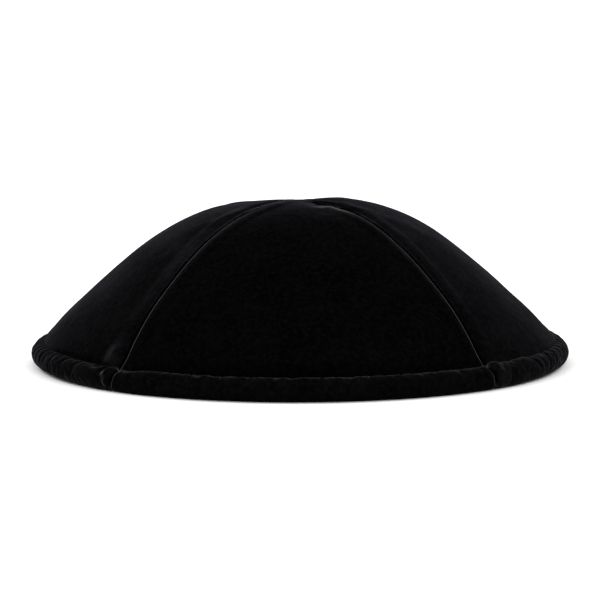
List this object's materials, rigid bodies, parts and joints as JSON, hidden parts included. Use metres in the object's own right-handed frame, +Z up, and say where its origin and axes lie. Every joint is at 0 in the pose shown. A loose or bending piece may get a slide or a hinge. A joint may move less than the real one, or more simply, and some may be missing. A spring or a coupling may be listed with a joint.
{
  "type": "kippah skullcap",
  "caption": "Low domed velvet skullcap of seamed panels with a padded, rolled rim, worn on the crown of the head.",
  "frame": {"origin": "middle of the rim, on the surface that the rim lies on", "axes": "+Z up through the crossing of the seams, -Y towards the front panel, +X to the right seen from the front"},
  "size_m": [0.1798, 0.1799, 0.0558],
  "materials": {
    "panel_velvet": "matt black velvet with a grey sheen at its edges",
    "rim_velvet": "matt black velvet, gathered over padding"
  },
  "bodies": {
    "root": {"panel_front": "panel_velvet", "panel_right": "panel_velvet", "panel_back": "panel_velvet", "panel_left": "panel_velvet", "rim_front": "rim_velvet", "rim_right": "rim_velvet", "rim_back": "rim_velvet", "rim_left": "rim_velvet"}
  },
  "joints": []
}
